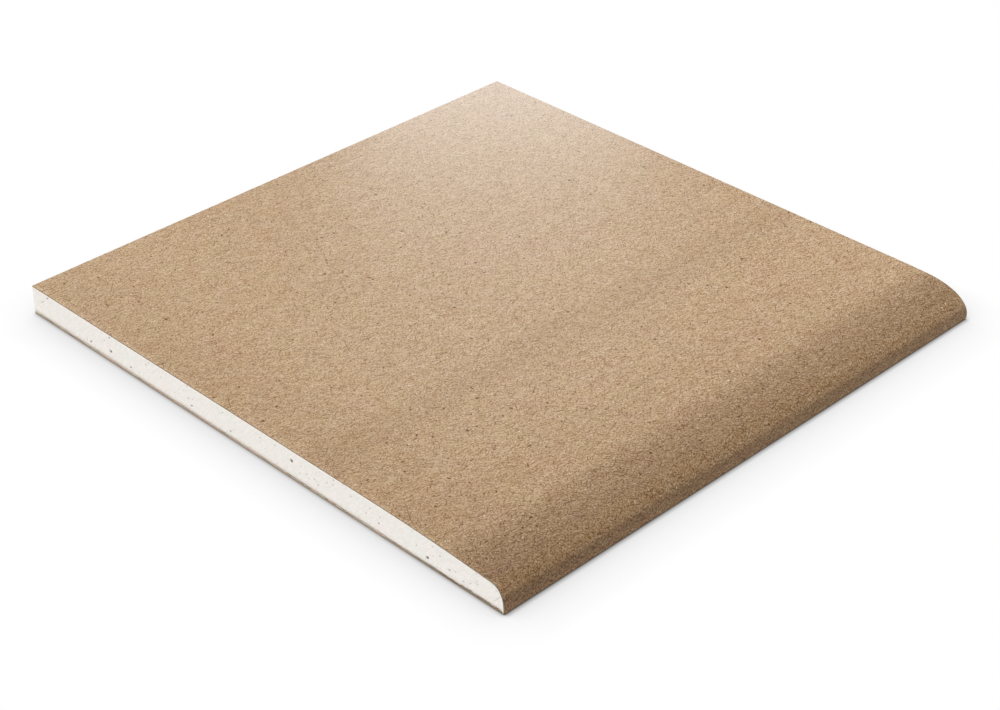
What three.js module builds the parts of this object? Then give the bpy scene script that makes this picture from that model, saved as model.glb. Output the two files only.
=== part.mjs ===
// A piece of plasterboard with one half-round tapered edge: a gypsum core between two paper liners.
// One long edge is bound: the face paper runs down over the taper, round the nose and the heel, and
// folds under the core as a flap, and the back paper laps over that flap. The other sides are cut square.
//
// Millimetres. +X runs across the board to the bound edge, +Y along the board, +Z up through it.
// The origin is the middle of the underside. Outlines are drawn in the board's cross-section, where a
// point's x is its place across the board and its y is its height above the underside.

import * as THREE from "three";

// Driving sizes of the board
const BOARD_WIDTH = 260; // cut side to bound edge
const BOARD_LENGTH = 255; // cut end to cut end
const BOARD_THICKNESS = 12.5; // over both papers, clear of the taper
const FACE_PAPER = 0.4; // thickness of the face liner
const BACK_PAPER = 0.4; // thickness of the back liner

// Driving sizes of the bound edge
const TAPER_WIDTH = 45; // bound edge to the line where the face starts to fall
const TAPER_DEPTH = 1.5; // fall of the face where the nose begins
const NOSE_REACH = 8; // bound edge to the line where the nose begins
const FOOT_HEIGHT = 2; // underside to the line where the nose ends and the edge stands upright
const CORE_HEEL_RADIUS = 0.4; // rounding of the core's bottom corner, which the face paper folds round
const FLAP_WIDTH = 20; // bound edge to the end of the face paper folded under the core
const BACK_PAPER_MARGIN = 3; // bound edge to the back paper's own edge

// Straight pieces that stand in for each round stretch
const TAPER_STEPS = 12;
const NOSE_STEPS = 32;
const HEEL_STEPS = 8;

// Places that follow from the driving sizes
const CUT_SIDE_X = -BOARD_WIDTH / 2;
const BOUND_EDGE_X = BOARD_WIDTH / 2;
const FLAP_END_X = BOUND_EDGE_X - FLAP_WIDTH;
const RIGHT_ANGLE = Math.PI / 2;

// An arc run clockwise through the section, as points from its first angle to its last.
function arc(centreX, centreY, radiusX, radiusY, firstAngle, lastAngle, steps) {
  const clockwise = true;
  const curve = new THREE.EllipseCurve(
    centreX, centreY, radiusX, radiusY, firstAngle, lastAngle, clockwise);
  return curve.getPoints(steps);
}

// The face falls along a circle that leaves the flat tangentially. Its slope at the nose follows from
// the taper's run and depth.
function taperPoints() {
  const run = TAPER_WIDTH - NOSE_REACH;
  const turn = taperTurn();
  const radius = run / Math.sin(turn);
  return arc(BOUND_EDGE_X - TAPER_WIDTH, BOARD_THICKNESS - radius, radius, radius,
    RIGHT_ANGLE, RIGHT_ANGLE - turn, TAPER_STEPS);
}

// The angle that the face has turned through where the taper meets the nose.
function taperTurn() {
  return 2 * Math.atan(TAPER_DEPTH / (TAPER_WIDTH - NOSE_REACH));
}

// The nose is part of an upright ellipse. It takes over the taper's slope without a corner and ends
// upright at the top of the foot. On such an ellipse the start angle, measured from its crown,
// satisfies sin(start) / (1 + sin(start)) = slope * reach / rise.
function nosePoints() {
  const rise = BOARD_THICKNESS - TAPER_DEPTH - FOOT_HEIGHT;
  const ratio = Math.tan(taperTurn()) * NOSE_REACH / rise;
  const start = Math.asin(ratio / (1 - ratio));
  const radiusX = NOSE_REACH / (1 - Math.sin(start));
  const radiusY = rise / Math.cos(start);
  return arc(BOUND_EDGE_X - radiusX, FOOT_HEIGHT, radiusX, radiusY,
    RIGHT_ANGLE - start, 0, NOSE_STEPS);
}

// The heel turns the face paper under the core. The paper's outside lies on the back paper's inside.
function heelPoints() {
  const radius = CORE_HEEL_RADIUS + FACE_PAPER;
  return arc(BOUND_EDGE_X - radius, BACK_PAPER + radius, radius, radius,
    0, -RIGHT_ANGLE, HEEL_STEPS);
}

// Outside of the face paper, from the cut side over the top and round the edge to the flap's end.
function wrapOutside() {
  return [
    new THREE.Vector2(CUT_SIDE_X, BOARD_THICKNESS),
    ...taperPoints(),
    ...nosePoints().slice(1),
    ...heelPoints(),
    new THREE.Vector2(FLAP_END_X, BACK_PAPER),
  ];
}

// The same line moved inwards by a distance, to the right of its direction of travel, with each
// corner mitred so that the paper keeps its thickness round the bends.
function insetLine(points, distance) {
  const normals = points.slice(1).map((point, i) => {
    const along = point.clone().sub(points[i]).normalize();
    return new THREE.Vector2(along.y, -along.x);
  });
  return points.map((point, i) => {
    const before = normals[Math.max(i - 1, 0)];
    const after = normals[Math.min(i, normals.length - 1)];
    const mitre = before.clone().add(after).divideScalar(1 + before.dot(after));
    return point.clone().addScaledVector(mitre, distance);
  });
}

// A piece with one section all along the board, centred on the origin.
function alongBoard(name, outline, material) {
  const geometry = new THREE.ExtrudeGeometry(
    new THREE.Shape(outline), { depth: BOARD_LENGTH, bevelEnabled: false });
  geometry.rotateX(RIGHT_ANGLE);
  geometry.translate(0, BOARD_LENGTH / 2, 0);
  const mesh = new THREE.Mesh(geometry, material);
  mesh.name = name;
  return mesh;
}

// The core fills the face paper's wrap. Its underside steps up by the flap's thickness, because the
// flap is pressed into the core before it sets, and the back paper stays flat.
function gypsumCore(wrapInside) {
  const outline = [
    ...wrapInside,
    new THREE.Vector2(FLAP_END_X, BACK_PAPER),
    new THREE.Vector2(CUT_SIDE_X, BACK_PAPER),
  ];
  return alongBoard("gypsum_core", outline,
    new THREE.MeshStandardMaterial({ color: 0xebe9e1, roughness: 0.95, metalness: 0 }));
}

// The face paper is one sheet: the face, the taper, the nose, the heel and the flap.
function facePaper(wrapInside) {
  const outline = [...wrapOutside(), ...wrapInside.slice().reverse()];
  return alongBoard("face_paper", outline,
    new THREE.MeshStandardMaterial({ color: 0xb9966f, roughness: 0.8, metalness: 0 }));
}

// The back paper is a flat sheet from the cut side to just short of the bound edge.
function backPaper() {
  const innerEdgeX = BOUND_EDGE_X - BACK_PAPER_MARGIN;
  const outline = [
    new THREE.Vector2(CUT_SIDE_X, 0),
    new THREE.Vector2(innerEdgeX, 0),
    new THREE.Vector2(innerEdgeX, BACK_PAPER),
    new THREE.Vector2(CUT_SIDE_X, BACK_PAPER),
  ];
  return alongBoard("back_paper", outline,
    new THREE.MeshStandardMaterial({ color: 0xa88a68, roughness: 0.85, metalness: 0 }));
}

const wrapInside = insetLine(wrapOutside(), FACE_PAPER);

const group = new THREE.Group();
group.add(gypsumCore(wrapInside));
group.add(facePaper(wrapInside));
group.add(backPaper());

export default group;
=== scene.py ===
"""Looks of a square piece of plasterboard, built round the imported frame.

The board lies on a pale studio floor: a white gypsum core between two brown paper liners. One side is
bound by the face paper, over a taper, a half-round nose and a heel. The other three sides are cut square.
Shapes are in metres. +X runs across the board to the bound edge, +Y along it and +Z up through it. The
finishes measure their patterns in millimetres.
"""

import logging
import math
import random
from collections.abc import Iterable, Mapping, Sequence
from dataclasses import dataclass, field
from enum import Enum

import bmesh
import bpy
from mathutils import Matrix, Vector, noise


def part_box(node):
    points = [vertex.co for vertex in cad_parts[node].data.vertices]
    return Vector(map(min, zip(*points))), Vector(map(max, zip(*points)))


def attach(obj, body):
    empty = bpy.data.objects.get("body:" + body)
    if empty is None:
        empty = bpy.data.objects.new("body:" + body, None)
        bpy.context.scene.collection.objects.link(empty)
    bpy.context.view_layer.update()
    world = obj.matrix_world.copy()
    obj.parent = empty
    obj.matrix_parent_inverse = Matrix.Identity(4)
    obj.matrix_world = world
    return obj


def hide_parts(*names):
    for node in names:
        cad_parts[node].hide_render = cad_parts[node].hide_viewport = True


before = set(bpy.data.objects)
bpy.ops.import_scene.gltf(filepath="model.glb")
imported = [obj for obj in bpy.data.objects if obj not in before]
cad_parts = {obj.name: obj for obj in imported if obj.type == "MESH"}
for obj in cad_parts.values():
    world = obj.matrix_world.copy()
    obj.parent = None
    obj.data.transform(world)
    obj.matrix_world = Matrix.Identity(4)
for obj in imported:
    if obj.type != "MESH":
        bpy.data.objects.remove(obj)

MM = 0.001
CLOSE = 0.01 * MM
ACROSS = Vector((1.0, 0.0, 0.0))
ALONG = Vector((0.0, 1.0, 0.0))
BODY = "root"
SHARP_ANGLE = math.radians(50)
RELIEF_ORIGIN = Vector((31.7, 12.3, 45.1))
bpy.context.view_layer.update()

Node = bpy.types.Node
Socket = bpy.types.NodeSocket
Material = bpy.types.Material
Mesh = bmesh.types.BMesh
Point = bmesh.types.BMVert
Edge = bmesh.types.BMEdge
PointLayer = bmesh.types.BMLayerItem
Value = float | Socket
Pair = tuple[float, float]
Triple = tuple[float, float, float]
Colour = Triple
Feed = Value | Colour | Vector
Feeds = Sequence[Feed] | Mapping[str | int, Feed]
log = logging.getLogger("board")


def clamped(share: float) -> float:
    """Keep a share between 0 and 1."""
    return max(0.0, min(1.0, share))


def uneven(place: Vector, size: float) -> float:
    """Give a soft relief between -1 and 1 at a place, with bumps of a size in metres."""
    return noise.noise(place / size + RELIEF_ORIGIN)


def add_object(name: str, data: bpy.types.ID) -> bpy.types.Object:
    """Put a new object into the scene.

    Args:
        name: Name of the object.
        data: Mesh, lamp or camera that it shows.

    Returns:
        The new object.
    """
    made = bpy.data.objects.new(name, data)
    bpy.context.scene.collection.objects.link(made)
    return made


def points_of(geometry: Iterable[Point | Edge]) -> list[Point]:
    """Pick the points out of what a mesh operator made."""
    return [item for item in geometry if isinstance(item, Point)]


class Layer(Enum):
    """Values that the meshes carry on their points for the finishes to read."""

    WRAP = "wrap"
    HOLLOW = "hollow"
    GRIT = "grit"


# --- shader graphs


class Graph:
    """A node tree with short names for the nodes that the finishes use."""

    def __init__(self, tree: bpy.types.NodeTree) -> None:
        """Take over a node tree and empty it."""
        self.tree = tree
        self.tree.nodes.clear()

    def node(self, kind: str, feeds: Feeds = (), **settings: object) -> Node:
        """Add a node.

        Args:
            kind: Name of the node's type, without the leading ShaderNode.
            feeds: What the inputs get, in their order, or by their name or number.
            settings: Settings of the node itself, by name.

        Returns:
            The new node.
        """
        made = self.tree.nodes.new("ShaderNode" + kind)
        for name, setting in settings.items():
            setattr(made, name, setting)
        for key, value in feeds.items() if isinstance(feeds, Mapping) else enumerate(feeds):
            self.feed(made.inputs[key], value)
        return made

    def feed(self, socket: Socket, value: Feed) -> None:
        """Give an input socket a link or a fixed value.

        Args:
            socket: Input to fill.
            value: Output socket to link, or the value to set.
        """
        if isinstance(value, Socket):
            self.tree.links.new(value, socket)
        elif socket.type == "RGBA":
            socket.default_value = (*value, 1.0)
        else:
            socket.default_value = value

    def math(self, operation: str, *numbers: Value) -> Socket:
        """Work out a number from up to three others."""
        return self.node("Math", numbers, operation=operation).outputs[0]

    def add(self, first: Value, second: Value) -> Socket:
        """Add two numbers."""
        return self.math("ADD", first, second)

    def times(self, first: Value, second: Value) -> Socket:
        """Multiply two numbers."""
        return self.math("MULTIPLY", first, second)

    def centred(self, value: Socket, strength: float) -> Socket:
        """Turn a number with a middle of 0.5 into one with a middle of 0, and give it a strength."""
        return self.times(self.math("SUBTRACT", value, 0.5), strength)

    def swing(self, value: Socket, strength: float) -> Socket:
        """Turn a number with a middle of 0.5 into a factor with a middle of 1."""
        return self.math("MULTIPLY_ADD", value, strength, 1.0 - strength / 2)

    def either_way(self, chance: Socket, most: float) -> Socket:
        """Turn a chance from 0 to 1 into an angle, up to the most to either side."""
        return self.math("MULTIPLY_ADD", chance, 2 * most, -most)

    def ramp(self, value: Value, start: Value, end: Value, low: Value = 0.0, high: Value = 1.0) -> Socket:
        """Take a number smoothly from its low level at the start to its high level at the end."""
        feeds = (value, start, end, low, high)
        return self.node("MapRange", feeds, interpolation_type="SMOOTHSTEP").outputs[0]

    def blend(self, factor: Value, first: Feed, second: Feed) -> Socket:
        """Mix two colours, by the share of the second."""
        return self.node("Mix", {0: factor, 6: first, 7: second}, data_type="RGBA").outputs[2]

    def vector(self, operation: str, *parts: Feed) -> Socket:
        """Combine vectors or colours part by part."""
        return self.node("VectorMath", parts, operation=operation).outputs[0]

    def scaled(self, vector: Feed, factor: Value) -> Socket:
        """Multiply a vector or colour by a number."""
        return self.node("VectorMath", {0: vector, 3: factor}, operation="SCALE").outputs[0]

    def laid_on(self, spread: Socket, hue: Feed, strength: Value) -> Socket:
        """Add a hue to a vector, at a strength."""
        return self.vector("ADD", spread, self.scaled(hue, strength))

    def split(self, vector: Socket) -> tuple[Socket, ...]:
        """Give a vector's three parts."""
        return tuple(self.node("SeparateXYZ", (vector,)).outputs)

    def joined(self, *parts: Value) -> Socket:
        """Make a vector of up to three parts."""
        return self.node("CombineXYZ", parts).outputs[0]

    def turned(self, place: Socket, angle: Value) -> Socket:
        """Turn a place about Z, by an angle in radians."""
        return self.node("VectorRotate", {"Vector": place, "Angle": angle}, rotation_type="Z_AXIS").outputs[0]

    def stretched(self, place: Socket, size: Triple | Vector, shift: Feed) -> Socket:
        """Measure a place in units of a grain's size, and shift it to a part of the noise of its own."""
        return self.vector("MULTIPLY_ADD", place, Vector(1.0 / part for part in Vector(size)), shift)

    def noise(self, place: Socket, detail: float = 2.0, roughness: float = 0.6) -> Node:
        """Draw a soft noise with grains of unit size, and a number of finer layers of a roughness."""
        feeds = {"Vector": place, "Scale": 1.0, "Detail": detail, "Roughness": roughness}
        return self.node("TexNoise", feeds, noise_dimensions="3D")

    def cells(self, place: Socket, dimensions: str = "2D") -> Node:
        """Scatter one random point to each unit cell of a sheet, or of a solid in 3D."""
        feeds = {"Vector": place, "Scale": 1.0}
        return self.node("TexVoronoi", feeds, voronoi_dimensions=dimensions, feature="F1")

    def scattered(self, place: Socket, spacing: float, shift: Pair) -> tuple[Socket, Socket]:
        """Scatter random points over a sheet.

        Args:
            place: Place on the sheet.
            spacing: Width of the square cells that get a point each.
            shift: Added to the place in cells, to give each pattern its own points.

        Returns:
            The way from the nearest point in cells, and that cell's three chances from 0 to 1.
        """
        place = self.stretched(place, (spacing, spacing, 1), (*shift, 0))
        cell = self.cells(place)
        return self.vector("SUBTRACT", place, cell.outputs["Position"]), cell.outputs["Color"]

    def layer(self, layer: Layer, output: str = "Fac") -> Socket:
        """Read a value that the mesh carries on its points."""
        return self.node("Attribute", attribute_type="GEOMETRY", attribute_name=layer.value).outputs[output]

    def object_place(self) -> Socket:
        """Give the place on the object in millimetres."""
        return self.scaled(self.node("TexCoord").outputs["Object"], 1.0 / MM)

    def finish(self, colour: Socket, roughness: float, height: Socket, relief: float) -> None:
        """Close a material's graph with its shader, its fine relief and its output.

        Args:
            colour: Base colour.
            roughness: Roughness.
            height: Height of the relief from 0 to 1.
            relief: Depth in metres that a height of 1 stands for.
        """
        bump = self.node("Bump", {"Strength": 1.0, "Distance": relief, "Height": height})
        feeds = {"Base Color": colour, "Roughness": roughness, "Normal": bump.outputs[0]}
        self.node("OutputMaterial", (self.node("BsdfPrincipled", feeds).outputs[0],))


def new_graph(name: str) -> tuple[Material, Graph]:
    """Make an empty material.

    Args:
        name: Name of the material.

    Returns:
        The material and its graph.
    """
    made = bpy.data.materials.new(name)
    made.use_nodes = True
    return made, Graph(made.node_tree)


# --- finishes


@dataclass(frozen=True)
class Grain:
    """A soft noise over a finish, with grains of a size in millimetres."""

    size: Triple
    shift: Triple = (0, 0, 0)
    detail: float = 2.0
    roughness: float = 0.6
    turn: float = 0.0
    strength: float = 1.0

    def draw(self, graph: Graph, place: Socket, output: str = "Fac") -> Socket:
        """Draw the noise.

        Args:
            graph: Graph of the material.
            place: Place in millimetres.
            output: Fac for a number with a middle of 0.5, or Color for three of them.

        Returns:
            The noise at that place.
        """
        if self.turn:
            place = graph.turned(place, self.turn)
        place = graph.stretched(place, self.size, self.shift)
        return graph.noise(place, self.detail, self.roughness).outputs[output]


@dataclass(frozen=True)
class Marks:
    """One kind of mark strewn over a paper, sizes in millimetres: a fibre, a fleck or a speck."""

    tone: float
    spacing: float
    length: float
    width: float
    bend: float = 0.0
    share: float = 1.0
    wander: float = math.pi
    shift: Pair = (0, 0)
    soft_side: Pair = (1.5, 0.5)
    soft_end: float = 0.6
    full_share: float = 0.2

    def draw(self, graph: Graph, place: Socket) -> Socket:
        """Draw the marks, one to a cell at most, each turned its own way.

        Args:
            graph: Graph of the material.
            place: Place on the sheet in millimetres.

        Returns:
            Cover from 0 to 1.
        """
        offset, chances = graph.scattered(place, self.spacing, self.shift)
        turn_chance, size_chance, share_chance = graph.split(chances)
        across, along, _ = graph.split(graph.turned(offset, graph.either_way(turn_chance, self.wander)))
        bow = graph.centred(size_chance, self.bend)
        across = graph.math("MULTIPLY_ADD", graph.times(along, along), bow, across)
        half_width = self.width / 2 / self.spacing
        half_length = graph.times(graph.swing(size_chance, 1.0), self.length / 2 / self.spacing)
        side = graph.ramp(graph.math("ABSOLUTE", across), *(half_width * part for part in self.soft_side))
        end = graph.ramp(graph.math("ABSOLUTE", along), half_length, graph.times(half_length, self.soft_end))
        strength = graph.ramp(share_chance, self.share, self.full_share * self.share)
        return graph.times(graph.times(side, end), strength)


@dataclass(frozen=True)
class Strands:
    """One layer of close fibres, in patches that each lie their own way. Sizes in millimetres."""

    patch: float
    length: float
    width: float
    wander: float
    shift: Pair
    lean: float = 0.50
    apart: float = 40.0
    tone: float = 1 / 3

    def draw(self, graph: Graph, place: Socket) -> Socket:
        """Draw the layer.

        Args:
            graph: Graph of the material.
            place: Place on the sheet in millimetres.

        Returns:
            Brightness, 0.5 in the middle.
        """
        offset, chances = graph.scattered(place, self.patch, self.shift)
        chance, _, _ = graph.split(chances)
        lying = graph.turned(offset, graph.add(graph.either_way(chance, self.wander), self.lean))
        size = Vector((self.width, self.length, 1)) / self.patch
        own_part = graph.scaled(chances, self.apart)
        return graph.noise(graph.stretched(lying, size, own_part)).outputs["Fac"]


def summed(graph: Graph, place: Socket, layers: Iterable[Marks | Strands], tone: Value = 0.0) -> Value:
    """Add layers of fibres or marks to a tone, each by its own tone.

    Args:
        graph: Graph of the material.
        place: Place on the sheet in millimetres.
        layers: Layers to add.
        tone: Tone to start from.

    Returns:
        The tone with the layers.
    """
    for layer in layers:
        tone = graph.math("MULTIPLY_ADD", layer.draw(graph, place), layer.tone, tone)
    return tone


@dataclass(frozen=True)
class Step:
    """A smooth change to another level over a stretch, places in millimetres."""

    start: float
    end: float
    level: float


def stepped(graph: Graph, place: Socket, level: Value, *steps: Step) -> Value:
    """Take a level through its steps.

    Args:
        graph: Graph of the material.
        place: Place along the piece in millimetres.
        level: Level before the first step.
        steps: Steps, in their order along the piece.

    Returns:
        The level at that place.
    """
    for step in steps:
        level = graph.ramp(place, step.start, step.end, level, step.level)
    return level


@dataclass(frozen=True)
class Shade(Step):
    """A stretch from which on the paper is darker or lighter, by the level times each part of the hue."""

    hue: Triple = (0.83, 1.02, 1.36)


@dataclass(frozen=True)
class KraftPaper:
    """Brown kraft liner: a mat of short crossing fibres with flecks, specks and a soft uneven tint.

    Every pattern adds to the spread. A spread of 1 doubles the paper's colour and -1 halves it. Bands of
    painted shade and light lie along the bound edge. Places across the sheet are measured round the outside
    of the wrap from the cut side, and places along it from the middle of the board.
    """

    name: str = "kraft_face"
    colour: Colour = (0.592, 0.394, 0.218)
    roughness: float = 0.50
    relief: float = 0.03 * MM
    contrast: float = 0.88
    bound: bool = True
    mat_tone: float = 7.4
    strands: tuple[Strands, ...] = (
        Strands(3.8, 2.8, 0.420, 0.8, (0, 0)),
        Strands(5.6, 4.0, 0.480, 0.6, (17, 5)),
        Strands(2.6, 1.2, 0.340, math.pi / 2, (34, 10)),
    )
    mottle: Grain = Grain((5, 7, 1), (3, 8, 0), strength=0.8)
    pulp: Grain = Grain((0.70, 0.60, 1), (6, 2, 0), 0.0, 0.5, turn=0.3, strength=3.0)
    streaks: Grain = Grain((2.2, 45, 1), (2, 9, 0), strength=0.35)
    marks: tuple[Marks, ...] = (
        Marks(0.50, 2.1, 1.8, 0.22, 0.9, 1.0, 1.2, (7, 3)),
        Marks(-2.30, 1.6, 1.7, 0.22, 0.9, 1.0, 0.9, (1, 9)),
        Marks(-1.80, 3.9, 3.4, 0.22, 1.6, 0.9, 1.0, (4, 4)),
        Marks(0.60, 4.7, 3.8, 0.26, 1.6, 0.7, 1.2, (9, 5)),
        Marks(-1.70, 31.0, 9.0, 0.26, 1.0, 0.8, math.pi, (5, 2)),
        Marks(1.50, 4.0, 0.65, 0.35, 0.0, 0.5, math.pi, (8, 1)),
    )
    pale_share: float = 0.54
    pale_step: Step = Step(215, 245, 0.64)
    calm: float = 0.90
    calm_steps: tuple[Step, ...] = (Step(30, 200, 1.00), Step(226, 246, 1.20), Step(254, 262.4, 1.24))
    grain_hue: Triple = (0.70, 1.04, 1.65)
    specks: tuple[Marks, ...] = (
        Marks(1.00, 9.4, 1.02, 0.82, 0.0, 0.16, math.pi, (2, 6)),
        Marks(1.00, 5.0, 0.90, 0.56, 0.0, 0.20, math.pi, (12, 3)),
    )
    speck_hue: Triple = (-2.4, -3.8, -9.0)
    speck_step: Step = Step(250, 262, 0.5)
    tint: Grain = Grain((11, 11, 1), (5, 1, 0), detail=3.0, roughness=0.7)
    tint_hue: Triple = (0.09, 0.17, 0.37)
    across_shades: tuple[Shade, ...] = (
        # A darker and a paler streak in the paper's own tone, out on the flat.
        Shade(156, 163, -0.13),
        Shade(171, 181, 0.10),
        # Painted shade and light by the bound edge: darker towards and down the taper, lighter where the nose
        # rounds over, darker down its upright side and lighter again at the heel's foot.
        Shade(200, 218, -0.08),
        Shade(229, 246, -0.61),
        Shade(246, 252, -0.12),
        Shade(253, 256.5, 0.25, (0.83, 0.98, 1.18)),
        Shade(260, 262.4, -0.68),
        Shade(263.3, 266.0, 0.36, (1.00, 1.00, 1.02)),
        Shade(265.9, 266.5, 1.00, (0.95, 0.98, 1.15)),
        # Painted shade: a dark band on the flap's inner face, where it shows as a ledge under the core.
        Shade(266.9, 267.6, 1.00, (-1.10, -0.75, -0.20)),
        # Gypsum dust further along the flap.
        Shade(269.3, 269.7, 0.80, (0.52, 0.82, 1.18)),
    )
    along_shades: tuple[Shade, ...] = (Shade(-80, -126, -0.14), Shade(-125.5, -126.7, 0.17))
    painted_drift_slope: float = 0.00095
    painted_drift_start: float = -0.090
    painted_drift_steps: tuple[Step, ...] = (Step(243, 251, 0.19), Step(255, 260, 0.06))
    painted_drift_hue: Triple = (0.83, 1.02, 1.36)
    half_length: float = 127.5

    def material(self) -> Material:
        """Make the paper's material.

        Returns:
            The finished material.
        """
        made, graph = new_graph(self.name)
        place = graph.scaled(graph.layer(Layer.WRAP, "Vector"), 1.0 / MM)
        across, along, _ = graph.split(place)
        mat = summed(graph, place, self.strands)
        spread = graph.scaled(self.grain_hue, self.tone(graph, place, mat, across))
        if self.bound:
            spread = self.painted_shading(graph, spread, across, along)
        fade = stepped(graph, across, 1.0, self.speck_step)
        specks = graph.times(summed(graph, place, self.specks), fade)
        spread = graph.laid_on(spread, self.speck_hue, specks)
        tint = graph.vector("SUBTRACT", self.tint.draw(graph, place, "Color"), (0.5, 0.5, 0.5))
        spread = graph.vector("ADD", spread, graph.vector("MULTIPLY", tint, self.tint_hue))
        colour = graph.vector("MULTIPLY", self.colour, graph.vector("POWER", (2, 2, 2), spread))
        graph.finish(colour, self.roughness, mat, self.relief)
        return made

    def tone(self, graph: Graph, place: Socket, mat: Socket, across: Socket) -> Socket:
        """Draw how light or dark the fibres and flecks are.

        Args:
            graph: Graph of the material.
            place: Place on the sheet in millimetres.
            mat: Brightness of the mat of fibres.
            across: Place across the sheet.

        Returns:
            Tone, 0 in the middle.
        """
        tone = graph.centred(mat, self.mat_tone)
        for grain in (self.mottle, self.pulp, self.streaks):
            tone = graph.add(tone, graph.centred(grain.draw(graph, place), grain.strength))
        tone = summed(graph, place, self.marks, tone)
        # Pale fibres show less than dark ones.
        pale = stepped(graph, across, self.pale_share, self.pale_step)
        tone = graph.math("MINIMUM", tone, graph.times(tone, pale))
        calm = graph.times(stepped(graph, across, self.calm, *self.calm_steps), self.contrast)
        return graph.times(tone, calm)

    def painted_shading(self, graph: Graph, spread: Socket, across: Socket, along: Socket) -> Socket:
        """Lay soft bands on the paper, mostly painted shade and light by the bound edge, and bands by the
        near cut.

        Args:
            graph: Graph of the material.
            spread: Spread of the paper's grain.
            across: Place across the sheet.
            along: Place along the sheet.

        Returns:
            The spread with the bands.
        """
        for where, shades in ((across, self.across_shades), (along, self.along_shades)):
            for shade in shades:
                spread = graph.laid_on(spread, shade.hue, stepped(graph, where, 0.0, shade))
        # Painted light and shade: by the bound edge the far half is painted lighter and the near half darker,
        # and by the cut side it is the other way round.
        painted_drift = graph.math("MULTIPLY_ADD", across, self.painted_drift_slope, self.painted_drift_start)
        painted_drift = stepped(graph, across, painted_drift, *self.painted_drift_steps)
        painted_drift = graph.times(graph.times(along, 1 / self.half_length), painted_drift)
        return graph.laid_on(spread, self.painted_drift_hue, painted_drift)


@dataclass(frozen=True)
class CutPaper:
    """The cut edge of a liner: plies of brown fibre, pressed and a little dirty.

    Sizes are in millimetres. Edges are the start and the end of a ramp. Gypsum dust lies on the plies
    above the dust's start, fully above its end. Unless a paper says otherwise, both heights are above the
    board, so its cut edge is clean.
    """

    name: str = "kraft_cut"
    colour: Colour = (0.140, 0.120, 0.090)
    pale: Colour = (0.350, 0.300, 0.225)
    dusty: Colour = (0.350, 0.300, 0.225)
    dust_start: float = 20.0
    dust_end: float = 21.0
    dust_step: Step = Step(60, 110, 0.05)
    plies: Grain = Grain((1.2, 1.2, 0.09), detail=3.0)
    ply_edges: Pair = (0.35, 0.70)
    frays: Grain = Grain((0.5, 0.5, 0.5), (4, 4, 4), roughness=0.5, strength=0.5)
    fray_reach: float = 0.8
    stain: Grain = Grain((3.0, 3.0, 3.0), (8, 8, 2), roughness=0.5)
    stain_edges: Pair = (0.35, 0.65)
    warm: Colour = (1.08, 0.95, 0.96)
    cool: Colour = (0.95, 1.03, 0.96)
    roughness: float = 0.85
    relief: float = 0.05 * MM

    def material(self) -> Material:
        """Make the cut edge's material.

        Returns:
            The finished material.
        """
        made, graph = new_graph(self.name)
        place = graph.object_place()
        across, _, up = graph.split(place)
        plies = self.plies.draw(graph, place)
        frays = self.frays.draw(graph, place)
        colour = graph.blend(graph.ramp(plies, *self.ply_edges), self.colour, self.pale)
        colour = graph.scaled(colour, graph.swing(frays, self.frays.strength))
        height = graph.add(up, graph.times(frays, self.fray_reach))
        middle = self.fray_reach / 2
        dust = graph.ramp(height, self.dust_start + middle, self.dust_end + middle)
        dust = graph.times(dust, stepped(graph, across, 1.0, self.dust_step))
        colour = graph.blend(dust, colour, self.dusty)
        stain = graph.ramp(self.stain.draw(graph, place), *self.stain_edges)
        stain = graph.blend(stain, self.warm, self.cool)
        graph.finish(graph.vector("MULTIPLY", colour, stain), self.roughness, plies, self.relief)
        return made


@dataclass(frozen=True)
class Spots:
    """One kind of spot in the set gypsum, spacing in millimetres and reach in units of the spacing."""

    spacing: float
    reach: float
    share: float
    colour: Colour

    def draw(self, graph: Graph, place: Socket) -> Socket:
        """Draw the spots, one to a cell at most.

        Args:
            graph: Graph of the material.
            place: Place in the core in millimetres.

        Returns:
            Cover from 0 to 1.
        """
        size = (self.spacing, self.spacing, self.spacing)
        cell = graph.cells(graph.stretched(place, size, (self.spacing, 7, 3)), "3D").outputs
        chance, share_chance, _ = graph.split(cell["Color"])
        rim, top = graph.times(chance, 2 * self.reach), graph.times(chance, self.reach)
        spot = graph.ramp(cell["Distance"], rim, top)
        return graph.times(spot, graph.math("LESS_THAN", share_chance, self.share))


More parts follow.
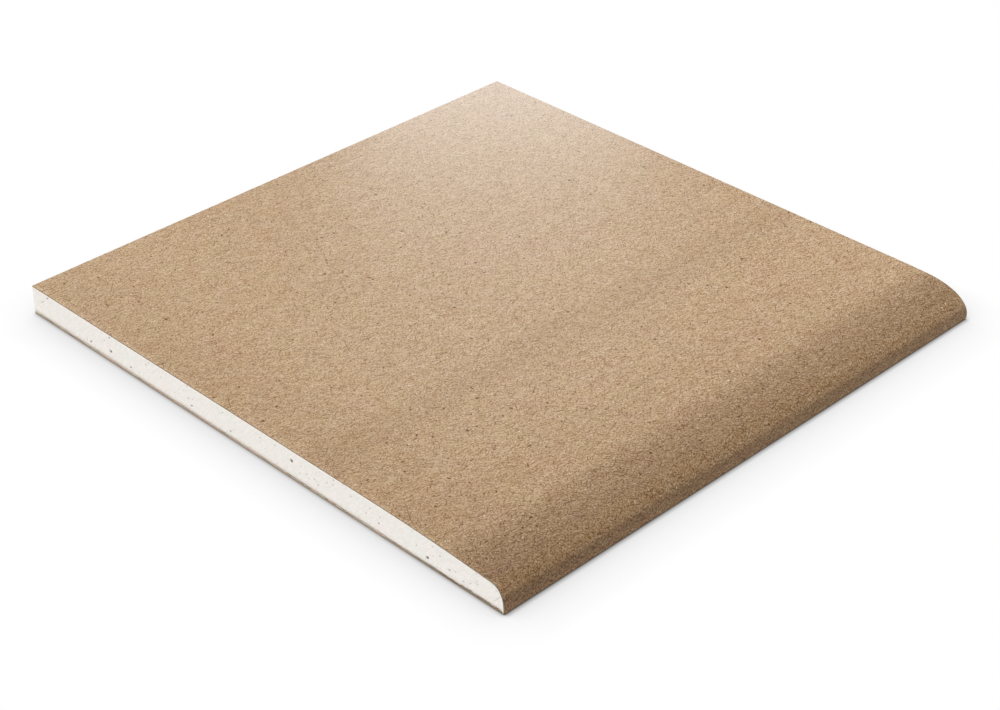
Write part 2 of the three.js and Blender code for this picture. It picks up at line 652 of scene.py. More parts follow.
@dataclass(frozen=True)
class Gypsum:
    """Sawn set gypsum: matt off-white, powdery, with saw strokes, grey specks, paler lumps and a painted
    highlight under its top.

    Sizes are in millimetres. Places across it are measured from the middle of the board. Edges are the
    start and the end of a ramp, and levels are its start, its end, its low and its high.
    """

    name: str = "gypsum_sawn"
    pink: Colour = (0.950, 0.893, 0.848)
    green: Colour = (0.925, 0.902, 0.840)
    cloud: Grain = Grain((9, 9, 9), (2, 5, 1), detail=1.0, roughness=0.5)
    cloud_edges: Pair = (0.35, 0.65)
    powder: Grain = Grain((0.8, 0.8, 0.8), (6, 1, 3), detail=3.0, strength=0.10)
    drag: Grain = Grain((5.2, 1.2, 1), (9, 4, 0), detail=3.0)
    drag_levels: tuple[float, ...] = (0.25, 0.75, 0.95, 1.035)
    painted_top_highlight: Colour = (1.065, 1.045, 1.02)
    painted_top_highlight_edges: Pair = (11.5, 12.4)
    dust: Colour = (0.600, 0.480, 0.370)
    foot_browning_levels: tuple[float, ...] = (4.2, 1.1, 0.0, 0.55)
    foot_browning_drag: float = 1.6
    dust_step: Step = Step(20, 95, 0.45)
    spots: tuple[Spots, ...] = (
        Spots(2.6, 0.13, 0.5, (0.450, 0.430, 0.390)),
        Spots(1.3, 0.12, 0.35, (0.450, 0.430, 0.390)),
        Spots(1.9, 0.20, 0.6, (1.000, 0.990, 0.970)),
    )
    spot_cover: float = 0.5
    hollow: Colour = (0.620, 0.590, 0.540)
    grit: Colour = (0.090, 0.070, 0.050)
    roughness: float = 0.92
    relief: float = 0.12 * MM

    def material(self) -> Material:
        """Make the core's material.

        Returns:
            The finished material.
        """
        made, graph = new_graph(self.name)
        place = graph.object_place()
        across, along, up = graph.split(place)
        cloud = graph.ramp(self.cloud.draw(graph, place), *self.cloud_edges)
        colour = graph.blend(cloud, self.pink, self.green)
        powder = self.powder.draw(graph, place)
        colour = graph.scaled(colour, graph.swing(powder, self.powder.strength))
        # The saw drags in slanting strokes, the same on every cut face.
        run = graph.add(graph.add(across, along), up)
        rise = graph.math("SUBTRACT", graph.times(up, 2.0), run)
        drag = self.drag.draw(graph, graph.joined(run, rise))
        colour = graph.scaled(colour, graph.ramp(drag, *self.drag_levels))
        # Painted highlight: the face turns lighter just under the face paper.
        painted_top_highlight = graph.ramp(graph.add(up, powder), *self.painted_top_highlight_edges)
        colour = graph.vector("MULTIPLY", colour, graph.blend(painted_top_highlight, (1.0, 1.0, 1.0), self.painted_top_highlight))
        # Towards the foot the cut faces turn browner and darker, less so towards the bound edge.
        dust = graph.ramp(graph.add(up, graph.times(drag, self.foot_browning_drag)), *self.foot_browning_levels)
        dust = graph.times(dust, stepped(graph, across, 1.0, self.dust_step))
        colour = graph.blend(dust, colour, self.dust)
        for spots in self.spots:
            cover = graph.times(spots.draw(graph, place), self.spot_cover)
            colour = graph.blend(cover, colour, spots.colour)
        colour = graph.blend(graph.layer(Layer.HOLLOW), colour, self.hollow)
        colour = graph.blend(graph.layer(Layer.GRIT), colour, self.grit)
        graph.finish(colour, self.roughness, powder, self.relief)
        return made


Finish = KraftPaper | CutPaper | Gypsum

# --- the board's section


@dataclass(frozen=True)
class EdgeFall:
    """How the face falls to the bound edge at one end of the board. Widths are taken in from that edge."""

    taper_width: float
    taper_depth: float
    nose_reach: float
    fullness: float

    def height(self, inward: float, crown: float, foot: float) -> float:
        """Give the face's height above the foot.

        Args:
            inward: Distance in from the bound edge.
            crown: Height of the flat face.
            foot: Height of the foot.

        Returns:
            Height above the foot.
        """
        walked = (self.taper_width - inward) / (self.taper_width - self.nose_reach)
        level = crown - foot - self.taper_depth * clamped(walked) ** 2
        share = max(0.0, 1 - inward / self.nose_reach)
        return level * math.sqrt(1 - share**self.fullness)


@dataclass(frozen=True)
class Section:
    """Cross-section of the board, with the places that follow from its sizes."""

    width: float = 260 * MM
    length: float = 255 * MM
    thickness: float = 12.5 * MM
    face_paper: float = 0.4 * MM
    back_paper: float = 0.4 * MM
    taper_width: float = 45 * MM
    taper_depth: float = 1.5 * MM
    nose_reach: float = 8 * MM
    foot_height: float = 2 * MM
    core_heel_radius: float = 0.4 * MM
    flap_width: float = 20 * MM
    back_margin: float = 3 * MM
    heel_sink: float = 0.35 * MM
    heel_sink_width: float = 2.2 * MM
    near_fall: EdgeFall = EdgeFall(65 * MM, 1.95 * MM, 6.5 * MM, 2.6)
    far_fall: EdgeFall = EdgeFall(30 * MM, 0.1 * MM, 25 * MM, 2.6)

    @property
    def cut_x(self) -> float:
        """Place of the cut side."""
        return -self.width / 2

    @property
    def bound_x(self) -> float:
        """Place of the bound edge."""
        return self.width / 2

    @property
    def near_y(self) -> float:
        """Place of the near cut end."""
        return -self.length / 2

    @property
    def taper_turn(self) -> float:
        """Angle that the face has turned through where the taper meets the nose."""
        return 2 * math.atan(self.taper_depth / (self.taper_width - self.nose_reach))

    @property
    def taper_radius(self) -> float:
        """Radius of the circle that the taper falls along."""
        return (self.taper_width - self.nose_reach) / math.sin(self.taper_turn)

    @property
    def taper_centre(self) -> Vector:
        """Centre of the taper's circle."""
        return Vector((self.bound_x - self.taper_width, 0, self.thickness - self.taper_radius))

    @property
    def nose_rise(self) -> float:
        """Height of the nose above the top of the foot, where the taper ends."""
        return self.thickness - self.taper_depth - self.foot_height

    @property
    def nose_start(self) -> float:
        """Angle from the nose's crown to the place where it takes over from the taper."""
        ratio = math.tan(self.taper_turn) * self.nose_reach / self.nose_rise
        return math.asin(ratio / (1 - ratio))

    @property
    def nose_radii(self) -> Pair:
        """Reach and height of the nose's ellipse, from its centre."""
        return self.nose_reach / (1 - math.sin(self.nose_start)), self.nose_rise / math.cos(self.nose_start)

    @property
    def nose_centre(self) -> Vector:
        """Centre of the nose's ellipse."""
        return Vector((self.bound_x - self.nose_radii[0], 0, self.foot_height))

    @property
    def heel_centre(self) -> Vector:
        """Centre of the heel's circle."""
        radius = self.core_heel_radius + self.face_paper
        return Vector((self.bound_x - radius, 0, self.back_paper + radius))

    def core_columns(self, pitch: float, nose_steps: int) -> list[float]:
        """Divide the core's width, evenly on the flat and the taper and by angle round the nose.

        Args:
            pitch: Distance between the places on the flat and the taper.
            nose_steps: Number of steps round the nose.

        Returns:
            Places across the board.
        """
        reach = self.nose_radii[0] - self.face_paper
        start = self.nose_centre.x + reach * math.sin(self.nose_start)
        steps = round((start - self.cut_x) / pitch)
        even = [self.cut_x + (start - self.cut_x) * i / steps for i in range(steps)]
        turn = math.pi / 2 - self.nose_start
        return even + [
            self.nose_centre.x + reach * math.sin(self.nose_start + turn * i / nose_steps)
            for i in range(nose_steps + 1)]

    def top(self, x: float, cover: float = 0.0) -> float:
        """Give the height of the face, or of what lies under it, at a place across the board.

        Args:
            x: Place across the board.
            cover: Thickness of what lies over it.

        Returns:
            Height above the underside.
        """
        if x <= self.taper_centre.x:
            return self.thickness - cover
        reach, height = (value - cover for value in self.nose_radii)
        share = (x - self.nose_centre.x) / reach
        if share < math.sin(self.nose_start):
            radius = self.taper_radius - cover
            return self.taper_centre.z + math.sqrt(radius**2 - (x - self.taper_centre.x) ** 2)
        return self.nose_centre.z + height * math.sqrt(max(1 - share**2, 0))

    def core_top(self, x: float) -> float:
        """Give the height of the core's top at a place across the board."""
        return self.top(x, self.face_paper)

    def core_foot(self, x: float) -> float:
        """Give the height of the core's underside at a place across the board.

        Args:
            x: Place across the board.

        Returns:
            Height above the board's underside.
        """
        if x < self.bound_x - self.flap_width:
            return self.back_paper
        beyond = x - self.heel_centre.x
        if beyond <= 0:
            return self.back_paper + self.face_paper
        return self.heel_centre.z - math.sqrt(max(self.core_heel_radius**2 - beyond**2, 0))


# --- the pieces


@dataclass
class Piece:
    """A piece of the board, modelled in a bmesh of its own, that stands for one node of the frame."""

    section: Section
    name: str = ""
    node: str = ""
    slot: str = ""
    finishes: tuple[Finish, ...] = ()
    mesh: Mesh = field(default_factory=bmesh.new)

    def model(self) -> None:
        """Model the piece in its mesh."""
        raise NotImplementedError

    def build(self) -> bpy.types.Object:
        """Model the piece and put it in the place of its node.

        Returns:
            The finished piece.
        """
        self.model()
        for face in self.mesh.faces:
            face.smooth = True
        data = bpy.data.meshes.new(self.name)
        self.mesh.to_mesh(data)
        self.mesh.free()
        for finish in self.finishes:
            data.materials.append(finish.material())
        data.set_sharp_from_angle(angle=SHARP_ANGLE)
        piece = add_object(self.name, data)
        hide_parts(self.node)
        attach(piece, BODY)
        low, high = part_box(self.node)
        outside = max(
            max(low[i] - point.co[i], point.co[i] - high[i]) for point in data.vertices for i in range(3))
        triangles = sum(len(face.vertices) - 2 for face in data.polygons)
        log.info("%s: %d triangles, %.4f mm outside its node's box", self.name, triangles, outside / MM)
        return piece

    def settle(self) -> None:
        """Let the bound edge grow fuller to the near end and softer to the far end, from its even middle."""
        section = self.section
        for point in self.mesh.verts:
            inward = max(section.bound_x - point.co.x, 2 * CLOSE)
            if inward > section.near_fall.taper_width or point.co.z <= section.foot_height:
                continue
            fall = section.near_fall if point.co.y < 0 else section.far_fall
            even = section.top(section.bound_x - inward) - section.foot_height
            own = fall.height(inward, section.thickness, section.foot_height)
            share = (2 * point.co.y / section.length) ** 2
            point.co.z += (point.co.z - section.foot_height) * share * (own / even - 1)

    def sag(self) -> None:
        """Let the heel sit down to the floor, past the end of the back paper."""
        section = self.section
        start = section.bound_x - section.back_margin
        for point in self.mesh.verts:
            past = clamped((point.co.x - start) / section.heel_sink_width)
            share = (point.co.z - section.back_paper) / (section.foot_height - section.back_paper)
            point.co.z -= section.heel_sink * past**2 * (3 - 2 * past) * max(0.0, 1 - share)
            point.co.x = min(point.co.x, section.bound_x)


@dataclass
class Liner(Piece):
    """A paper, whose points carry their places on the flat sheet."""

    @property
    def wrap(self) -> PointLayer:
        """Layer that carries the places on the flat sheet."""
        layers = self.mesh.verts.layers.float_vector
        return layers.get(Layer.WRAP.value) or layers.new(Layer.WRAP.value)


@dataclass
class FaceLiner(Liner):
    """The face paper: one sheet over the face, the taper, the nose and the heel, folded under as a flap."""

    name: str = "face_liner"
    node: str = "face_paper"
    slot: str = "face_liner"
    finishes: tuple[Finish, ...] = (KraftPaper(), CutPaper())
    tip: list[Point] = field(default_factory=list)
    flat_steps: int = 86
    taper_steps: int = 24
    nose_steps: int = 32
    heel_steps: int = 8
    flap_steps: int = 8
    length_steps: int = 127
    fray: float = 0.10 * MM
    fray_size: float = 1.7 * MM

    def model(self) -> None:
        """Draw the outside of the wrap as a line, pull it into a sheet and thicken the sheet."""
        section, mesh = self.section, self.mesh
        self.draw_outside()
        self.number_line()
        self.pull_along()
        bmesh.ops.recalc_face_normals(mesh, faces=mesh.faces[:])
        if max(mesh.faces, key=lambda face: face.calc_center_median().z).normal.z < 0:
            bmesh.ops.reverse_faces(mesh, faces=mesh.faces[:])
        bmesh.ops.solidify(mesh, geom=mesh.faces[:], thickness=section.face_paper)
        self.mark_cut_edges()
        self.fray_cuts()
        self.settle()
        self.sag()

    def draw_outside(self) -> None:
        """Draw the line of edges from the cut side over the face and round to the flap's end."""
        section = self.section
        depth = Vector((0, section.near_y, 0))
        start = bmesh.ops.create_vert(self.mesh, co=(section.cut_x, section.near_y, section.thickness))
        self.tip = start["vert"]
        flat = section.width - section.taper_width
        self.run(Vector((flat / self.flat_steps, 0, 0)), self.flat_steps)
        self.sweep(section.taper_centre + depth, section.taper_turn, self.taper_steps)
        squash = Matrix.Scale(section.nose_radii[1] / section.nose_radii[0], 4, (1, 0, 0))
        turn = math.pi / 2 - section.nose_start
        self.sweep(section.nose_centre + depth, turn, self.nose_steps, squash)
        self.run(Vector((0, 0, section.heel_centre.z - section.foot_height)), 1)
        self.sweep(section.heel_centre + depth, math.pi / 2, self.heel_steps)
        flap = section.heel_centre.x - (section.bound_x - section.flap_width)
        self.run(Vector((-flap / self.flap_steps, 0, 0)), self.flap_steps)

    def run(self, step: Vector, steps: int) -> None:
        """Draw the line straight on from its tip.

        Args:
            step: Way from one point to the next.
            steps: Number of steps.
        """
        for _ in range(steps):
            self.tip = bmesh.ops.extrude_vert_indiv(self.mesh, verts=self.tip)["verts"]
            bmesh.ops.translate(self.mesh, verts=self.tip, vec=step)

    def sweep(self, centre: Vector, turn: float, steps: int, space: Matrix = Matrix.Identity(4)) -> None:
        """Draw the line round on from its tip, clockwise in the section.

        Args:
            centre: Centre of the turn.
            turn: Angle of the turn.
            steps: Number of steps.
            space: Space in which the stretch is a part of a circle.
        """
        made = bmesh.ops.spin(
            self.mesh, geom=self.tip, cent=space @ centre, axis=ALONG, angle=turn, steps=steps, space=space)
        self.tip = points_of(made["geom_last"])

    def number_line(self) -> None:
        """Write each point's distance along the line into the wrap layer."""
        walked, wrap = 0.0, self.wrap
        point = next(end for end in self.mesh.verts if len(end.link_edges) == 1 and end.co.x < 0)
        edge = point.link_edges[0]
        while edge:
            point = edge.other_vert(point)
            walked += edge.calc_length()
            point[wrap] = Vector((walked, 0, 0))
            edge = next((onward for onward in point.link_edges if onward is not edge), None)

    def pull_along(self) -> None:
        """Pull the line along the board into a sheet, and write each point's place along it too."""
        step = Vector((0, self.section.length / self.length_steps, 0))
        edges = self.mesh.edges[:]
        for _ in range(self.length_steps):
            made = bmesh.ops.extrude_edge_only(self.mesh, edges=edges)["geom"]
            edges = [item for item in made if isinstance(item, Edge)]
            bmesh.ops.translate(self.mesh, verts=points_of(made), vec=step)
        wrap = self.wrap
        for point in self.mesh.verts:
            point[wrap] = Vector((point[wrap].x, point.co.y, 0))

    def mark_cut_edges(self) -> None:
        """Give the narrow faces of the cut edges the second finish."""
        for face in self.mesh.faces:
            centre = face.calc_center_median()
            at_end = abs(centre.y) > self.section.length / 2 - CLOSE
            at_side = centre.x < self.section.cut_x + CLOSE
            face.material_index = int(at_end or at_side)

    def fray_cuts(self) -> None:
        """Draw the cut edges in a little, unevenly, as a saw leaves them."""
        half = self.section.length / 2
        for point in self.mesh.verts:
            draw = self.fray * (0.5 + 0.5 * uneven(point.co, self.fray_size))
            if half - abs(point.co.y) < CLOSE:
                point.co.y -= math.copysign(draw, point.co.y)
            if point.co.x < self.section.cut_x + CLOSE:
                point.co.x += draw


@dataclass
class BackLiner(Liner):
    """The back paper: one flat sheet from the cut side to just short of the bound edge."""

    name: str = "back_liner"
    node: str = "back_paper"
    slot: str = "back_liner"
    finishes: tuple[Finish, ...] = (
        KraftPaper("kraft_back", (0.40, 0.28, 0.175), roughness=0.65, contrast=0.7, bound=False),
        CutPaper("kraft_back_cut", (0.15, 0.12, 0.088), (0.36, 0.28, 0.20), (0.72, 0.585, 0.47), 0.15, 0.95))
    across_steps: int = 380
    along_steps: int = 130
    wrap_shift: Vector = Vector((0.6, 0, 0))
    lip: float = 0.12 * MM
    burr: float = 0.50 * MM
    burr_least: float = 0.1
    burr_change: float = 0.6
    burr_sizes: tuple[float, ...] = (0.9 * MM, 2.2 * MM, 8 * MM)

    def model(self) -> None:
        """Lay a grid, thicken it and raise its burr."""
        section, mesh, wrap = self.section, self.mesh, self.wrap
        bmesh.ops.create_grid(mesh, x_segments=self.across_steps, y_segments=self.along_steps, size=0.5)
        across = section.width - section.back_margin
        bmesh.ops.scale(mesh, verts=mesh.verts, vec=(across, section.length, 1))
        bmesh.ops.translate(mesh, verts=mesh.verts, vec=(-section.back_margin / 2, 0, 0))
        self.narrow_rim(across / self.across_steps, section.length / self.along_steps)
        for point in mesh.verts:
            point[wrap] = point.co + self.wrap_shift
        bmesh.ops.reverse_faces(mesh, faces=mesh.faces[:])
        bmesh.ops.solidify(mesh, geom=mesh.faces[:], thickness=section.back_paper)
        for face in mesh.faces:
            face.material_index = int(abs(face.normal.z) < 0.5)
        self.raise_burr()

    def narrow_rim(self, across_step: float, along_step: float) -> None:
        """Draw the outermost row of faces along the cuts out into a narrow rim.

        Args:
            across_step: Width of the grid's faces across the board.
            along_step: Their length along it.
        """
        section = self.section
        for point in self.mesh.verts:
            if abs(section.length / 2 - abs(point.co.y) - along_step) < CLOSE:
                point.co.y = math.copysign(section.length / 2 - self.lip, point.co.y)
            if abs(point.co.x - section.cut_x - across_step) < CLOSE:
                point.co.x = section.cut_x + self.lip

    def raise_burr(self) -> None:
        """Raise the torn rim that stands up along the three cuts."""
        section = self.section
        for point in self.mesh.verts:
            inside = min(section.length / 2 - abs(point.co.y), point.co.x - section.cut_x)
            if point.co.z > section.back_paper / 2 and inside < CLOSE:
                change = sum(uneven(point.co, size) for size in self.burr_sizes)
                point.co.z += self.burr * max(self.burr_least, 1 + self.burr_change * change)


@dataclass(frozen=True)
class Pit:
    """A hollow in a cut face of the core, where an air bubble or a grain of grit was cut through."""

    along: float
    height: float
    reach: float
    depth: float
    grit: float = 0.0
    ratio: float = 0.75
    tilt: float = 0.4

    def cover(self, along: float, height: float) -> float:
        """Give how far inside the pit a place is, from 0 at its rim to 1 in its middle.

        Args:
            along: Place along the cut face.
            height: Place up the cut face.

        Returns:
            Share of the way in.
        """
        across, up = along - self.along, height - self.height
        first = (across * math.cos(self.tilt) + up * math.sin(self.tilt)) / self.reach
        second = (up * math.cos(self.tilt) - across * math.sin(self.tilt)) / (self.reach * self.ratio)
        return max(0.0, 1.0 - first**2 - second**2)


@dataclass
class CutFace:
    """One cut face of the core, with its pits."""

    length: float
    height: float
    seed: int
    marked: tuple[Pit, ...] = ()
    bubbles: int = 120
    margin: float = 0.8 * MM
    least_reach: float = 0.22 * MM
    more_reach: float = 0.35 * MM
    depths: Pair = (0.2, 0.6)
    most_grit: float = 0.35
    ratios: Pair = (0.45, 0.95)
    tilts: Pair = (0.1, 1.1)
    hollow_share: float = 0.6
    grit_share: float = 1.6
    bucket: float = 4 * MM
    pits: dict[int, list[Pit]] = field(default_factory=dict)

    def __post_init__(self) -> None:
        """Scatter the bubbles and sort all pits by their place along the face."""
        draw = random.Random(self.seed)
        pits = list(self.marked)
        for _ in range(self.bubbles):
            reach = self.least_reach + self.more_reach * draw.random() ** 3
            pits.append(Pit(
                along=draw.uniform(-self.length / 2, self.length / 2),
                height=draw.uniform(self.margin, self.height - self.margin),
                reach=reach, depth=reach * draw.uniform(*self.depths),
                grit=self.most_grit * draw.random() ** 4,
                ratio=draw.uniform(*self.ratios), tilt=draw.uniform(*self.tilts)))
        for pit in pits:
            first, last = (math.floor((pit.along + side) / self.bucket) for side in (-pit.reach, pit.reach))
            for number in range(first, last + 1):
                self.pits.setdefault(number, []).append(pit)

    def at(self, along: float, height: float) -> tuple[float, float, float]:
        """Give the depth, the hollow and the grit of the face at a place.

        Args:
            along: Place along the face.
            height: Place up the face.

        Returns:
            Depth in metres, and hollow and grit from 0 to 1.
        """
        depth = hollow = grit = 0.0
        for pit in self.pits.get(math.floor(along / self.bucket), ()):
            cover = pit.cover(along, height)
            depth += pit.depth * math.sqrt(cover)
            hollow = max(hollow, min(1.0, self.hollow_share * cover))
            grit = max(grit, pit.grit * min(1.0, self.grit_share * cover))
        return depth, hollow, grit


@dataclass
class Core(Piece):
    """The gypsum core, with three sawn faces."""

    name: str = "gypsum_body"
    node: str = "gypsum_core"
    slot: str = "gypsum"
    finishes: tuple[Finish, ...] = (Gypsum(),)
    pitch: float = 0.345 * MM
    nose_steps: int = 32
    rows: int = 34
    rim: float = 0.5 * MM
    wave: float = 0.05 * MM
    wave_size: float = 3.1 * MM
    powder: float = 0.03 * MM
    powder_size: float = 0.7 * MM
    chip_height: float = 1.5 * MM
    chip_depth: float = 0.40 * MM
    chip_change: float = 0.4
    chip_size: float = 2.0 * MM
    corner_reach: float = 5 * MM

    def model(self) -> None:
        """Press the near end, pull it along, divide the cut side and weather the cuts."""
        section, mesh = self.section, self.mesh
        for layer in (Layer.HOLLOW, Layer.GRIT):
            mesh.verts.layers.float.new(layer.value)
        self.press_end()
        made = bmesh.ops.extrude_face_region(mesh, geom=mesh.faces[:], use_keep_orig=True)["geom"]
        bmesh.ops.translate(mesh, verts=points_of(made), vec=section.length * ALONG)
        side = [
            edge for edge in mesh.edges
            if edge.calc_length() > section.length / 2
            and all(point.co.x < section.cut_x + CLOSE for point in edge.verts)]
        steps = round(section.length / self.pitch)
        bmesh.ops.subdivide_edges(mesh, edges=side, cuts=steps - 1, use_grid_fill=True)
        self.even_out(section.length / steps)
        bmesh.ops.recalc_face_normals(mesh, faces=mesh.faces[:])
        self.weather()
        self.settle()
        self.sag()

    def press_end(self) -> None:
        """Press a flat grid into the shape of the near cut end, column by column."""
        section = self.section
        columns = section.core_columns(self.pitch, self.nose_steps)
        bmesh.ops.create_grid(self.mesh, x_segments=len(columns) - 1, y_segments=self.rows, size=0.5)
        for point in self.mesh.verts:
            x = columns[round((point.co.x + 0.5) * (len(columns) - 1))]
            share = point.co.y + 0.5
            foot, top = section.core_foot(x), section.core_top(x)
            point.co = Vector((x, section.near_y, foot + (top - foot) * share))

    def even_out(self, step: float) -> None:
        """Put each point exactly on its row along the board, so that every run gives the same points.

        Args:
            step: Distance between the rows.
        """
        for point in self.mesh.verts:
            row = round((point.co.y - self.section.near_y) / step)
            point.co.y = self.section.near_y + row * step

    def weather(self) -> None:
        """Give the three cut faces their sawn relief and their pits."""
        section = self.section
        faces = (
            (ALONG, section.near_y, CutFace(section.width, section.thickness, 3, NEAR_PITS)),
            (-ALONG, section.near_y, CutFace(section.width, section.thickness, 5)),
            (ACROSS, section.cut_x, CutFace(section.length, section.thickness, 8)))
        hollow, grit = (self.mesh.verts.layers.float[layer.value] for layer in (Layer.HOLLOW, Layer.GRIT))
        moves: dict[Point, Vector] = {}
        for inward, start, face in faces:
            for point in self.mesh.verts:
                if abs(point.co.dot(inward) - start) > CLOSE:
                    continue
                along = point.co.x if inward.x == 0 else point.co.y
                depth, pit, dark = face.at(along, point.co.z)
                depth += self.relief(point.co, face, along)
                point[hollow] = max(point[hollow], pit)
                point[grit] = max(point[grit], dark)
                inside = min(
                    section.core_top(point.co.x) - point.co.z,
                    section.bound_x - section.face_paper - point.co.x)
                moves[point] = moves.get(point, Vector()) + inward * depth * clamped(inside / self.rim)
        for point, move in moves.items():
            point.co += move

    def relief(self, place: Vector, face: CutFace, along: float) -> float:
        """Give how far the saw's waves, the powder and the chipped lower arris draw a cut face in.

        Args:
            place: Place on the cut face.
            face: The cut face.
            along: Place along the face.

        Returns:
            Depth in metres.
        """
        low = max(0.0, 1 - (place.z - self.section.core_foot(place.x)) / self.chip_height)
        corner = min(1.0, (face.length / 2 - abs(along)) / self.corner_reach) if along < 0 else 1.0
        chipped = self.chip_depth * corner * low**2
        return (
            self.wave * (1 + uneven(place, self.wave_size)) / 2
            + self.powder * (1 + uneven(place, self.powder_size)) / 2
            + chipped * (1 + self.chip_change * uneven(place, self.chip_size)))


# Each row gives a pit's place along the near end, height, reach and depth in millimetres, then its grit,
# ratio and tilt. The small ones are alike.
NEAR_PITS = tuple(
    Pit(along * MM, height * MM, reach * MM, depth * MM, *rest)
    for along, height, reach, depth, *rest in (
        (-80.3, 4.8, 0.85, 0.50, 1.0, 0.75, 0.1),
        (24.9, 7.7, 0.80, 0.45, 1.0, 0.85, -0.3),
        (93.9, 3.5, 0.80, 0.45, 1.0, 0.75, 0.2),
        (-120.0, 10.9, 0.80, 0.30, 0.6, 0.50, 0.5),
        (-93.0, 3.4, 0.80, 0.40, 0.6, 0.60, 0.6),
        (-80.3, 10.9, 0.65, 0.30, 0.6, 0.50, 0.3),
        (-68.1, 3.3, 0.65, 0.35, 0.7, 0.70, 0.2),
        (-56.1, 10.7, 0.50, 0.25, 0.6, 0.60, 0.3),
        (-31.5, 3.6, 0.70, 0.35, 0.65, 0.70, 0.4),
        (-9.1, 3.4, 0.60, 0.30, 0.6, 0.60, 0.9),
        (70.0, 4.8, 0.50, 0.25, 0.6, 0.80, 0.0),
        (104.4, 4.2, 0.60, 0.30, 0.5, 0.60, 0.8),
        (100.0, 7.6, 0.45, 0.20, 0.45, 0.60, 0.8),
        (-124.0, 7.6, 1.60, 0.12, 0.2, 0.20, 0.6),
        (126.8, 4.6, 3.60, 0.06, 0.12, 0.06, 0.75),
        *((along, height, 0.50, 0.20, 0.35, 0.55, 0.7) for along, height in (
            (-83.8, 8.2), (-58.0, 9.2), (-33.0, 1.8), (-6.8, 5.2), (-13.0, 9.5), (8.0, 9.2), (33.0, 6.1),
            (39.0, 4.6), (43.7, 7.9), (47.0, 8.9), (63.9, 5.8), (65.7, 8.8), (88.7, 5.75), (96.6, 9.75),
            (114.4, 4.2), (117.5, 5.75)))))


# --- the studio


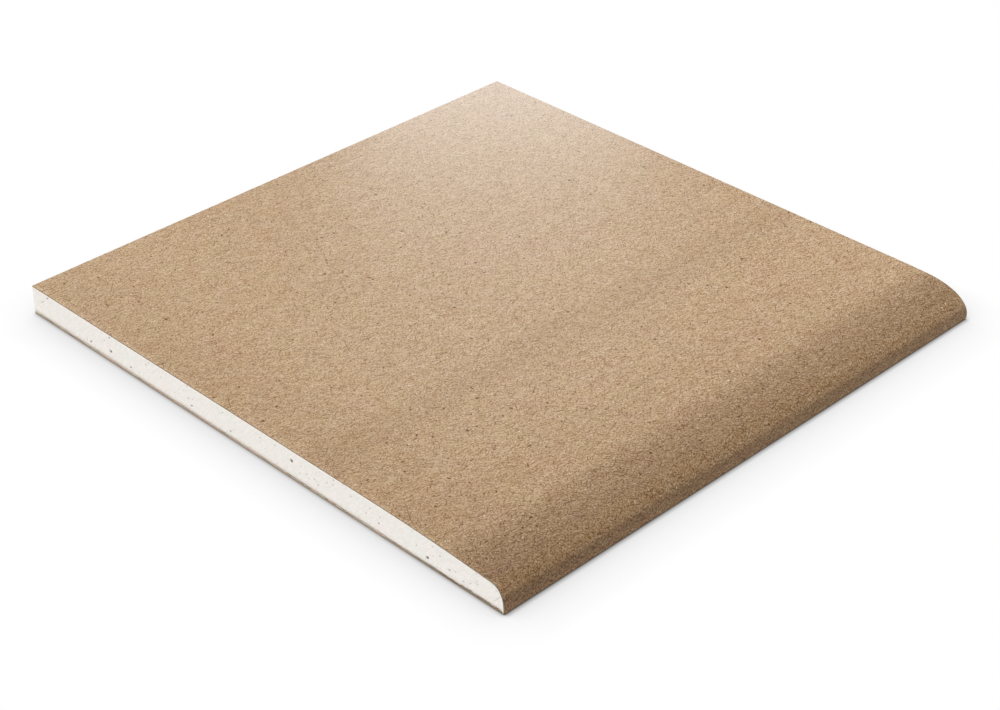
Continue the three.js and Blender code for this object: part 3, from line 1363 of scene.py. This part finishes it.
@dataclass(frozen=True)
class Studio:
    """A pale floor under a soft dome of light, with a lamp for the sheen and the camera."""

    floor_radius: float = 8.0
    floor_sides: int = 96
    floor_drop: float = 0.02 * MM
    floor_bounce: Colour = (0.6, 0.6, 0.6)
    floor_white: Colour = (1.0, 1.0, 1.0)
    floor_shadow: tuple[tuple[float, Colour], ...] = (
        (20 * MM, (0.47, 0.47, 0.47)), (2.2 * MM, (0.84, 0.84, 0.84)), (0.8 * MM, (0.50, 0.66, 0.80)))
    shadow_lean: Triple = (-0.22, -0.12, 0.97)
    shadow_rays: int = 16
    dome_level: float = 0.88
    dome_lean: Triple = (-0.6, -0.6, 0.0)
    lamp_place: Vector = Vector((-191.8, 187.2, 62)) * MM
    lamp_aim: Vector = Vector((0.0, 0.0, 62)) * MM
    lamp_size: Pair = (154 * MM, 38 * MM)
    lamp_power: float = 0.172
    lamp_colour: Colour = (0.874, 0.959, 1.0)
    target: Vector = Vector((19.90, -19.79, 0)) * MM
    azimuth: float = math.radians(45.126)
    elevation: float = math.radians(33.079)
    distance: float = 846.33 * MM
    lens: float = 80.04
    film: float = 36.0
    nearest: float = 0.01
    farthest: float = 50.0

    def build(self) -> None:
        """Set up the floor, the dome, the lamp and the camera."""
        self.lay_floor()
        self.light_dome()
        self.hang_lamp()
        self.place_camera()
        bpy.context.scene.view_settings.view_transform = "Standard"
        log.info("studio: floor, dome, sheen lamp and camera")

    def seen(self, graph: Graph) -> Socket:
        """Tell rays that show a thing, straight, in a gloss or through glass, from rays that light one.

        Args:
            graph: Graph of a material or of the world.

        Returns:
            1 for a ray that shows a thing, or else 0.
        """
        path = graph.node("LightPath").outputs
        straight = graph.math("MAXIMUM", path["Is Camera Ray"], path["Is Glossy Ray"])
        return graph.math("MAXIMUM", straight, path["Is Transmission Ray"])

    def lay_floor(self) -> None:
        """Lay the floor, white to the camera but for the board's own soft shadow."""
        mesh = bmesh.new()
        bmesh.ops.create_circle(mesh, cap_ends=True, segments=self.floor_sides, radius=self.floor_radius)
        bmesh.ops.translate(mesh, verts=mesh.verts, vec=(0, 0, -self.floor_drop))
        data = bpy.data.meshes.new("floor")
        mesh.to_mesh(data)
        mesh.free()
        finish, graph = new_graph("floor")
        data.materials.append(finish)
        shade = self.floor_white
        toward_light = graph.joined(*self.shadow_lean)
        for reach, depth in self.floor_shadow:
            feeds = {"Distance": reach, "Normal": toward_light}
            nearby = graph.node("AmbientOcclusion", feeds, samples=self.shadow_rays).outputs["AO"]
            shade = graph.vector("MULTIPLY", shade, graph.vector("POWER", nearby, depth))
        white = graph.node("Emission", {"Color": shade}).outputs[0]
        pale = graph.node("BsdfDiffuse", {"Color": self.floor_bounce}).outputs[0]
        both = graph.node("MixShader", (self.seen(graph), pale, white)).outputs[0]
        graph.node("OutputMaterial", (both,))
        add_object("floor", data)

    def light_dome(self) -> None:
        """Light the board from all round, more from behind the cut side than from the bound edge."""
        world = bpy.data.worlds.new("dome")
        bpy.context.scene.world = world
        world.use_nodes = True
        graph = Graph(world.node_tree)
        way = graph.node("TexCoord").outputs["Generated"]
        lean = graph.node("VectorMath", (way, self.dome_lean), operation="DOT_PRODUCT").outputs["Value"]
        light = graph.math("MAXIMUM", graph.add(self.dome_level, lean), 0.0)
        level = graph.node("Mix", {0: self.seen(graph), 2: light, 3: 1.0}, data_type="FLOAT").outputs[0]
        sky = graph.node("Background", {"Color": (1.0, 1.0, 1.0), "Strength": level}).outputs[0]
        graph.node("OutputWorld", (sky,))

    def hang_lamp(self) -> None:
        """Hang the soft lamp that only gloss shows."""
        data = bpy.data.lights.new("sheen_lamp", "AREA")
        data.shape = "RECTANGLE"
        data.size, data.size_y = self.lamp_size
        data.energy = self.lamp_power
        data.color = self.lamp_colour
        lamp = add_object("sheen_lamp", data)
        lamp.location = self.lamp_place
        lamp.rotation_euler = (self.lamp_aim - self.lamp_place).to_track_quat("-Z", "Y").to_euler()
        lamp.visible_camera = False
        lamp.visible_diffuse = False

    def place_camera(self) -> None:
        """Stand the camera off the near bound corner."""
        back = Vector((
            math.sin(self.azimuth) * math.cos(self.elevation),
            -math.cos(self.azimuth) * math.cos(self.elevation),
            math.sin(self.elevation)))
        data = bpy.data.cameras.new("camera")
        data.sensor_fit = "HORIZONTAL"
        data.sensor_width = self.film
        data.lens = self.lens
        data.clip_start = self.nearest
        data.clip_end = self.farthest
        camera = add_object("camera", data)
        camera.location = self.target + back * self.distance
        camera.rotation_euler = (-back).to_track_quat("-Z", "Y").to_euler()
        bpy.context.scene.camera = camera


def main() -> None:
    """Build the studio and the board's pieces."""
    logging.basicConfig(level=logging.INFO, format="%(name)s: %(message)s")
    section = Section()
    Studio().build()
    Core(section).build()
    FaceLiner(section).build()
    BackLiner(section).build()


if __name__ == "__main__":
    main()
